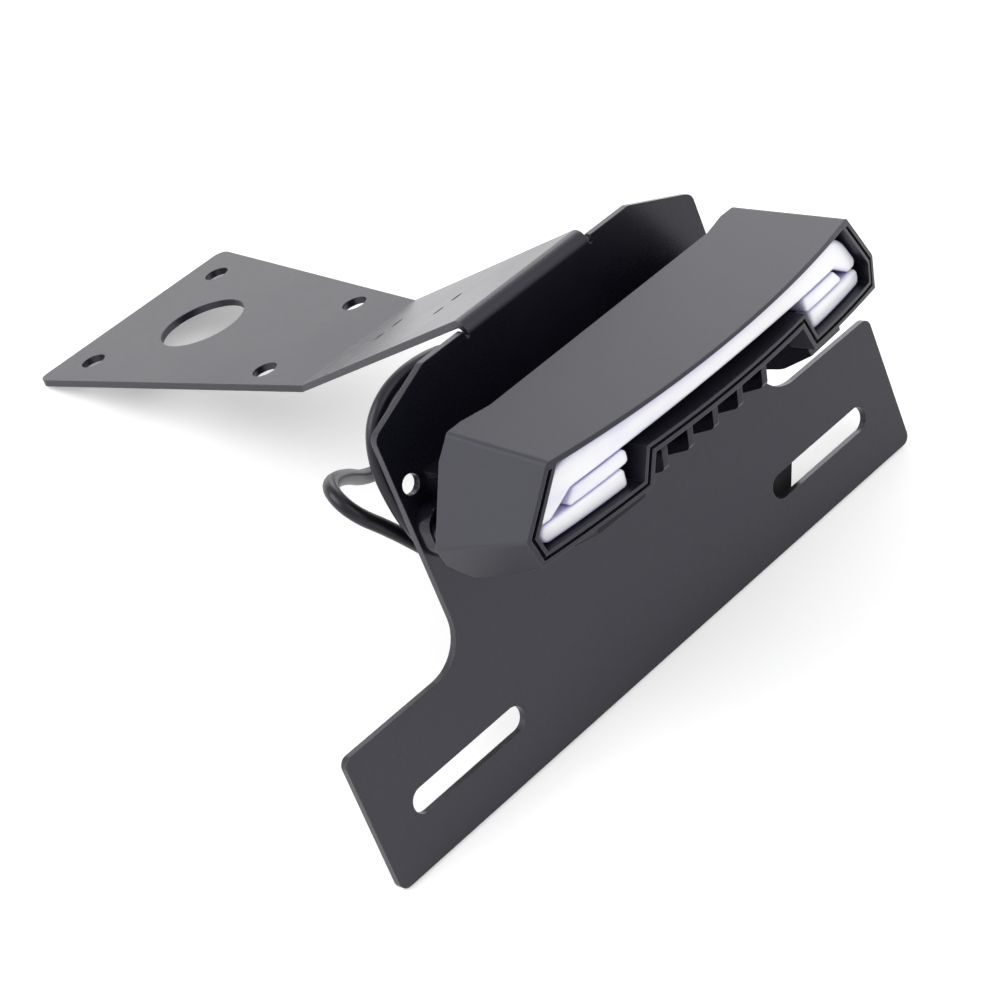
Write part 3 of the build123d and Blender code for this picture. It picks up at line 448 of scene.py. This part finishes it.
class LidSizes(bpy.types.PropertyGroup):
    """The plain lid that closes the cover behind the circuit board."""

    depth: bpy.props.FloatProperty(
        name="Depth", description="From the panel's face to the lid's back", subtype="DISTANCE",
        unit="LENGTH", default=22.5 * MM)
    thickness: bpy.props.FloatProperty(
        name="Thickness", description="Thickness of the lid", subtype="DISTANCE", unit="LENGTH",
        default=1.5 * MM)
    top_half: bpy.props.FloatProperty(
        name="Top half width", description="Half the width of the top edge", subtype="DISTANCE",
        unit="LENGTH", default=50.2 * MM)
    top_z: bpy.props.FloatProperty(
        name="Top height", description="Height of the top edge", subtype="DISTANCE",
        unit="LENGTH", default=13.4 * MM)
    wide_half: bpy.props.FloatProperty(
        name="Widest half width", description="Half the width where the ends turn in",
        subtype="DISTANCE", unit="LENGTH", default=61.6 * MM)
    wide_z: bpy.props.FloatProperty(
        name="Widest height", description="Height where the ends turn in", subtype="DISTANCE",
        unit="LENGTH", default=-6.0 * MM)
    low_half: bpy.props.FloatProperty(
        name="Foot half width", description="Half the width at the feet", subtype="DISTANCE",
        unit="LENGTH", default=60.0 * MM)
    low_z: bpy.props.FloatProperty(
        name="Foot height", description="Height of the feet, over the base", subtype="DISTANCE",
        unit="LENGTH", default=-13.1 * MM)
    leg_half: bpy.props.FloatProperty(
        name="Leg half width", description="Half the space between the legs", subtype="DISTANCE",
        unit="LENGTH", default=46.0 * MM)
    sill_z: bpy.props.FloatProperty(
        name="Sill height", description="Height of the lid's lower edge over the base",
        subtype="DISTANCE", unit="LENGTH", default=2.35 * MM)


class LeadSizes(bpy.types.PropertyGroup):
    """The free lead behind the panel."""

    diameter: bpy.props.FloatProperty(
        name="Diameter", description="Outside of the sheath", subtype="DISTANCE", unit="LENGTH",
        default=4 * MM)
    length: bpy.props.FloatProperty(
        name="Length", description="From the lamp to the plug", subtype="DISTANCE", unit="LENGTH",
        default=415.96 * MM)
    sides: bpy.props.IntProperty(
        name="Sides", description="Bevel steps round the sheath", min=1, max=16, default=6)
    steps: bpy.props.IntProperty(
        name="Steps", description="Steps along each stretch", min=2, max=40, default=16)


class StageSizes(bpy.types.PropertyGroup):
    """Floor, lights and camera."""

    floor_half: bpy.props.FloatProperty(
        name="Floor half side", description="Half the side of the pale floor", subtype="DISTANCE",
        unit="LENGTH", default=1.6)
    floor_glow: bpy.props.FloatProperty(
        name="Floor glow", description="Light added to the floor where it is seen or mirrored",
        min=0, max=1, default=0.28)
    sky: bpy.props.FloatProperty(
        name="Sky level", description="Strength of the even studio light", min=0, max=2,
        default=0.79)
    key: bpy.props.FloatProperty(
        name="Key power", description="Power of the large soft light high on the left",
        unit="POWER", default=12.0)
    fill: bpy.props.FloatProperty(
        name="Fill power", description="Power of the light in front of the lamp", unit="POWER",
        default=3.2)
    rim: bpy.props.FloatProperty(
        name="Rim power", description="Power of the light on the right", unit="POWER",
        default=5.5)
    back: bpy.props.FloatProperty(
        name="Back power", description="Power of the low light behind the mounting plate",
        unit="POWER", default=1.7)
    lens: bpy.props.FloatProperty(
        name="Lens", description="Focal length of the camera", unit="CAMERA", default=106.966)
    eye: bpy.props.FloatVectorProperty(
        name="Eye", description="Where the camera stands", subtype="XYZ", size=3, unit="LENGTH",
        default=(-0.3901, -0.6239, 0.2925))
    turn: bpy.props.FloatVectorProperty(
        name="Turn", description="How the camera is turned", subtype="EULER", size=3,
        default=tuple(math.radians(a) for a in (62.14493, 20.17767, -44.67557)))


class TAILTIDY_OT_stage(bpy.types.Operator):
    """Makes the floor that the part leans on, the white room, the soft lights and the camera"""

    bl_idname = "tailtidy.stage"
    bl_label = "Stage"

    def execute(self, context):
        scene = context.scene
        sizes = scene.tail_stage
        scene.view_settings.view_transform = "Standard"
        self.floor(scene, sizes)
        self.room(scene, sizes)
        self.lights(scene, sizes)
        self.camera(scene, sizes)
        return {"FINISHED"}

    def rest_line(self):
        """From the panel's bottom edge to the plate's front edge: a point and the slope."""
        low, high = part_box("bracket")
        panel_foot = np.array([0, low.y + SHEET, low.z])
        plate_foot = np.array([0, high.y, -SHEET])
        run = plate_foot - panel_foot
        return panel_foot, run / np.linalg.norm(run)

    def floor(self, scene, sizes):
        """A square sheet just under the rest line: its point plus u across and v along it."""
        foot, run = self.rest_line()
        across = np.array([1.0, 0, 0])
        normal = np.cross(across, run)
        u, v = np.meshgrid([-1.0, 1.0], [-1.0, 1.0])
        points = foot - normal * FLOOR_GAP + sizes.floor_half * (
            u.ravel()[:, None] * across + v.ravel()[:, None] * run)
        mesh = bpy.data.meshes.new("floor")
        mesh.from_pydata(points.tolist(), [], [(0, 1, 3, 2)])
        mesh.materials.append(self.pale_floor(sizes))
        floor = bpy.data.objects.new("floor", mesh)
        scene.collection.objects.link(floor)

    def pale_floor(self, sizes):
        """Pale paper that glows where it is seen or mirrored, and is clear from below."""
        material = bpy.data.materials.new("pale_floor")
        start = self.bare_tree(material)
        paper = start.node("ShaderNodeBsdfDiffuse", None, {"Color": PAPER, "Roughness": 0.3})
        glow = start.node(
            "ShaderNodeEmission", None, {"Strength": self.shown(start) * sizes.floor_glow})
        lit = start.node("ShaderNodeAddShader", None, {0: paper, 1: glow})
        clear = start.node("ShaderNodeBsdfTransparent")
        below = start.node("ShaderNodeNewGeometry", out="Backfacing")
        sides = start.node("ShaderNodeMixShader", None, {0: below, 1: lit, 2: clear})
        start.node("ShaderNodeOutputMaterial", None, {"Surface": sides})
        return material

    def room(self, scene, sizes):
        """White where it is seen or mirrored, an even level where it only lights."""
        world = bpy.data.worlds.new("studio")
        scene.world = world
        start = self.bare_tree(world)
        level = sizes.sky + self.shown(start) * (1.0 - sizes.sky)
        sky = start.node("ShaderNodeBackground", None, {"Color": (1, 1, 1), "Strength": level})
        start.node("ShaderNodeOutputWorld", None, {"Surface": sky})

    def bare_tree(self, owner):
        """Empties the node tree of a material or world, to be built from its start."""
        owner.use_nodes = True
        owner.node_tree.nodes.clear()
        return Wire(owner.node_tree)

    def shown(self, start):
        """1 for rays from the camera, a mirror or a clear body, 0 for rays that only light."""
        camera, mirror, clear = (
            start.node("ShaderNodeLightPath", out=ray) for ray in SHOWN_RAYS)
        return start.math("MINIMUM", camera + mirror + clear, 1.0)

    def lights(self, scene, sizes):
        """Soft squares that face the middle of the part."""
        middle = Vector((cad_low + cad_high) / 2)
        for name, place in LIGHT_PLACES.items():
            light = bpy.data.lights.new(name, "AREA")
            light.energy = getattr(sizes, name)
            light.size = LIGHT_SIDE
            lamp = bpy.data.objects.new(name, light)
            lamp.location = middle + Vector(place)
            lamp.rotation_euler = (-Vector(place)).to_track_quat("-Z", "Y").to_euler()
            lamp.visible_camera = False
            scene.collection.objects.link(lamp)

    def camera(self, scene, sizes):
        """A camera at the photograph's angle, with no shift."""
        eye = bpy.data.objects.new("camera", bpy.data.cameras.new("camera"))
        eye.data.lens = sizes.lens
        eye.data.sensor_width = 36
        eye.data.clip_start = 0.01
        eye.data.clip_end = 50
        eye.location = sizes.eye
        eye.rotation_euler = sizes.turn
        scene.collection.objects.link(eye)
        scene.camera = eye


class TAILTIDY_OT_lead(bpy.types.Operator):
    """Lays the lead along its route, from the lamp through the grommet to the plug"""

    bl_idname = "tailtidy.lead"
    bl_label = "Lead"

    def execute(self, context):
        sizes = context.scene.tail_lead
        route = np.array(LEAD_ROUTE, float) * MM
        route[:, 1] += PANEL_BACK
        curve = bpy.data.curves.new("lead_sheath", "CURVE")
        curve.dimensions = "3D"
        curve.bevel_depth = sizes.diameter / 2
        curve.bevel_resolution = sizes.sides
        curve.resolution_u = sizes.steps
        curve.use_fill_caps = True
        line = curve.splines.new("NURBS")
        line.points.add(len(route) - 1)
        line.points.foreach_set("co", np.hstack([route, np.ones((len(route), 1))]).ravel())
        line.order_u = 3
        line.use_endpoint_u = True
        lead = bpy.data.objects.new("lead_sheath", curve)
        context.scene.collection.objects.link(lead)
        curve.materials.append(soft_black(
            "lead_sheath", SHEATH_BLACK, roughness=0.34, grain_mm=0.5, depth_mm=0.02))
        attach(lead, "root")
        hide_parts("cable")
        return {"FINISHED"}


class TAILTIDY_OT_lid(bpy.types.Operator):
    """Closes the lamp's cover with a plain lid behind the board"""

    bl_idname = "tailtidy.lid"
    bl_label = "Lamp lid"

    def execute(self, context):
        sizes = context.scene.tail_lid
        lid = bpy.data.objects.new("lamp_lid", self.slab(sizes))
        context.scene.collection.objects.link(lid)
        lid.data.materials.append(gloss_mould("lid_mould", MASK_BLACK, MASK_ROUGHNESS))
        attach(lid, "root")
        return {"FINISHED"}

    def slab(self, sizes):
        """An outline and its mirror image, repeated one thickness on: two caps and the sides."""
        right = np.array([
            (sizes.leg_half, sizes.sill_z), (sizes.leg_half, sizes.low_z),
            (sizes.low_half, sizes.low_z), (sizes.wide_half, sizes.wide_z),
            (sizes.top_half, sizes.top_z)])
        outline = np.vstack([right, right[::-1] * (-1, 1)])
        count = len(outline)
        back = PANEL_FACE - sizes.depth
        rings = [np.insert(outline, 1, y, axis=1) for y in (back - sizes.thickness, back)]
        here = np.arange(count)
        ahead = np.roll(here, -1)
        sides = np.stack([here, here + count, ahead + count, ahead], axis=1)
        mesh = bpy.data.meshes.new("lamp_lid")
        mesh.from_pydata(
            np.vstack(rings).tolist(), [],
            [here.tolist(), (here[::-1] + count).tolist(), *sides.tolist()])
        return mesh


class TAILTIDY_OT_bracket(bpy.types.Operator):
    """Coats the folded bracket"""

    bl_idname = "tailtidy.bracket"
    bl_label = "Bracket"

    def execute(self, context):
        dress(powder_coat(context.scene.tail_coat), "bracket")
        return {"FINISHED"}


class TAILTIDY_OT_lamp(bpy.types.Operator):
    """Finishes the lamp's cover, base and inner mask"""

    bl_idname = "tailtidy.lamp"
    bl_label = "Lamp housing"

    def execute(self, context):
        dress(grained_mould(context.scene.tail_mould), "lamp_cover")
        dress(gloss_mould("gloss_base", BASE_BLACK, roughness=0.17), "lamp_base")
        dress(gloss_mould("satin_mask", MASK_BLACK, MASK_ROUGHNESS), "inner_mask")
        return {"FINISHED"}


class TAILTIDY_OT_guides(bpy.types.Operator):
    """Finishes the five light guides"""

    bl_idname = "tailtidy.guides"
    bl_label = "Light guides"

    def execute(self, context):
        dress(
            milky_guide(context.scene.tail_guide), "guide_top", "guide_mid_left",
            "guide_mid_right", "guide_low_left", "guide_low_right")
        return {"FINISHED"}


class TAILTIDY_OT_lamp_inside(bpy.types.Operator):
    """Finishes the board, its diodes and screws inside the lamp"""

    bl_idname = "tailtidy.lamp_inside"
    bl_label = "Lamp inside"

    def execute(self, context):
        dress(board_mask(), "led_board")
        dress(diode_face(), "leds")
        dress(bare_metal("zinc_screw", SCREW_ZINC, roughness=0.32), "board_screws")
        return {"FINISHED"}


class TAILTIDY_OT_fixings(bpy.types.Operator):
    """Finishes the lamp's bolts and washers"""

    bl_idname = "tailtidy.fixings"
    bl_label = "Fixings"

    def execute(self, context):
        dress(bare_metal("black_bolt", BOLT_BLACK, roughness=0.40, metal=0.9), "lamp_bolts")
        dress(bare_metal("zinc_washer", WASHER_ZINC, roughness=0.30), "lamp_washers")
        return {"FINISHED"}


class TAILTIDY_OT_lead_fittings(bpy.types.Operator):
    """Finishes the grommet, the cable tie, the plug and its pins"""

    bl_idname = "tailtidy.lead_fittings"
    bl_label = "Lead fittings"

    def execute(self, context):
        rubber = soft_black(
            "grommet_rubber", RUBBER_BLACK, roughness=0.62, grain_mm=0.35, depth_mm=0.03)
        tie = soft_black("tie_nylon", NYLON_BLACK, roughness=0.38, grain_mm=0.8, depth_mm=0.015)
        plug = soft_black("plug_nylon", NYLON_BLACK, roughness=0.46, grain_mm=0.4, depth_mm=0.02)
        dress(rubber, "cable_grommet")
        dress(tie, "cable_tie")
        dress(plug, "connector")
        dress(bare_metal("pin_tin", PIN_TIN, roughness=0.28), "connector_pins")
        return {"FINISHED"}


OPERATORS = (
    TAILTIDY_OT_stage, TAILTIDY_OT_lead, TAILTIDY_OT_lid, TAILTIDY_OT_bracket, TAILTIDY_OT_lamp,
    TAILTIDY_OT_guides, TAILTIDY_OT_lamp_inside, TAILTIDY_OT_fixings, TAILTIDY_OT_lead_fittings)
GROUPS = {
    "tail_coat": CoatLook, "tail_mould": MouldLook, "tail_guide": GuideLook, "tail_lid": LidSizes,
    "tail_lead": LeadSizes, "tail_stage": StageSizes}


class TAILTIDY_PT_sidebar(bpy.types.Panel):
    """Lists the sizes and colours, and a button for each group of pieces"""

    bl_idname = "TAILTIDY_PT_sidebar"
    bl_label = "Tail tidy"
    bl_space_type = "VIEW_3D"
    bl_region_type = "UI"
    bl_category = "Tail tidy"

    def draw(self, context):
        for name, group in GROUPS.items():
            box = self.layout.box()
            for key in group.__annotations__:
                box.prop(getattr(context.scene, name), key)
        for operator in OPERATORS:
            self.layout.operator(operator.bl_idname)


def register():
    """Registers the groups of sizes, the operators and the panel."""
    for kind in (*GROUPS.values(), *OPERATORS, TAILTIDY_PT_sidebar):
        bpy.utils.register_class(kind)
    for name, group in GROUPS.items():
        setattr(bpy.types.Scene, name, bpy.props.PointerProperty(type=group))


def unregister():
    """Takes away all that register adds, last first."""
    for name in GROUPS:
        delattr(bpy.types.Scene, name)
    for kind in (TAILTIDY_PT_sidebar, *reversed(OPERATORS), *reversed(GROUPS.values())):
        bpy.utils.unregister_class(kind)


def main():
    """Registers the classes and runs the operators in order."""
    register()
    for operator in OPERATORS:
        group, name = operator.bl_idname.split(".")
        getattr(getattr(bpy.ops, group), name)()


if __name__ == "__main__":
    main()
